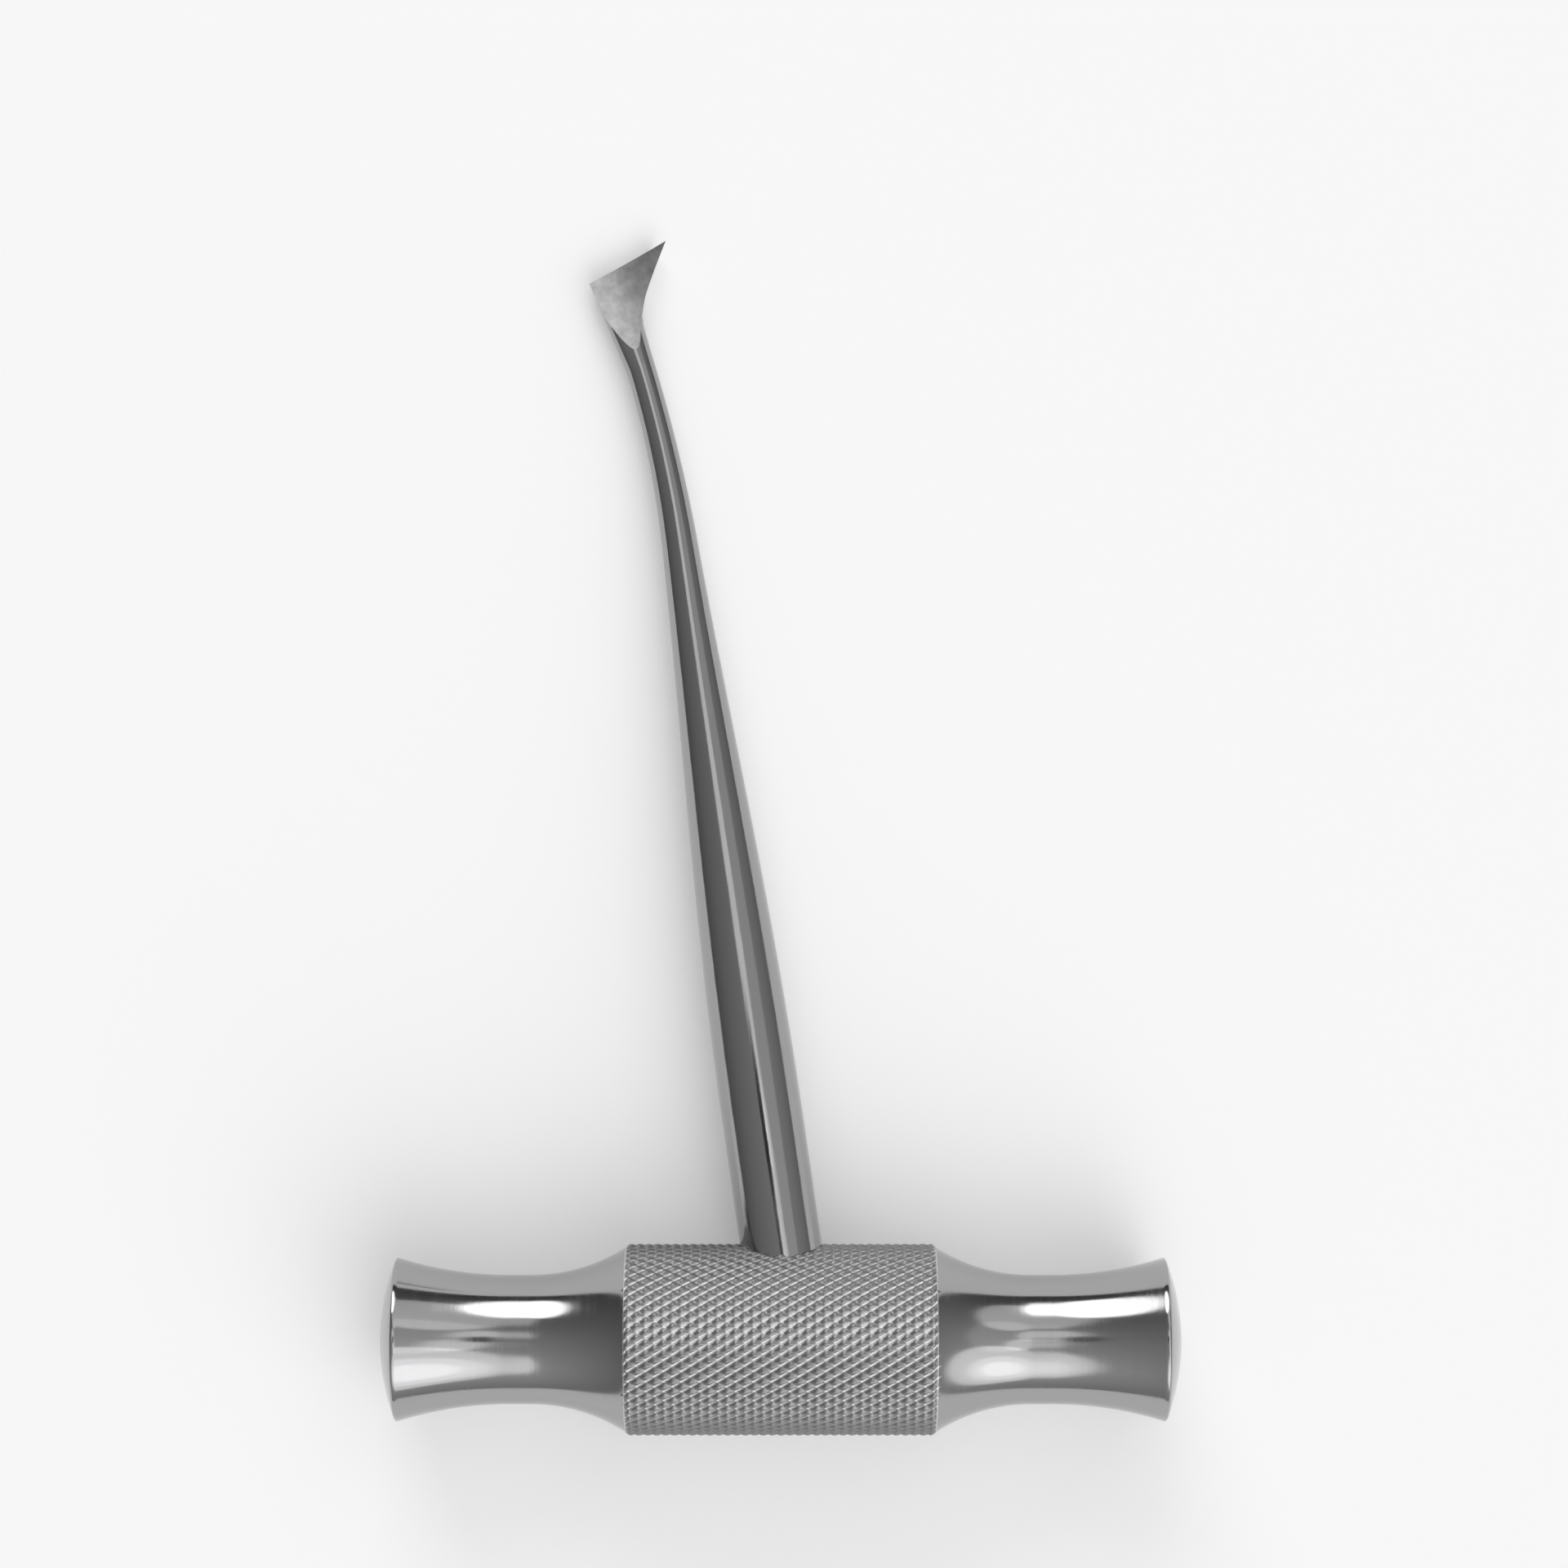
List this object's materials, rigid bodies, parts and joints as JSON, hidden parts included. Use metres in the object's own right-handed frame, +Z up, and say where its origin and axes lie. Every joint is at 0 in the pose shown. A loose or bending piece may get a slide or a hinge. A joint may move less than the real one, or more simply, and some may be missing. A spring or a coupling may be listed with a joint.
{
  "type": "cross-bar root elevator",
  "caption": "T-handled dental root elevator: knurled, waisted cross bar, round tapering shank that leans and bends to one side, and a flared hollow-ground blade with one sharp corner.",
  "frame": {"origin": "on the ground plane, under the middle of the tool's bounding box; the tool lies as it comes to rest, on the barrel's points and on the back of the blade", "axes": "+X along the cross bar, +Y from the bar towards the blade, +Z up, out of the blade's ground face"},
  "size_m": [0.0882, 0.1326, 0.021],
  "materials": {
    "handle_steel": "polished and finely brushed stainless steel, knurled barrel with a satin sheen",
    "shank_steel": "mirror-polished stainless steel, satin hollow-ground blade face"
  },
  "bodies": {
    "root": {"cross_bar_handle": "handle_steel", "shank_with_blade": "shank_steel"}
  },
  "joints": []
}
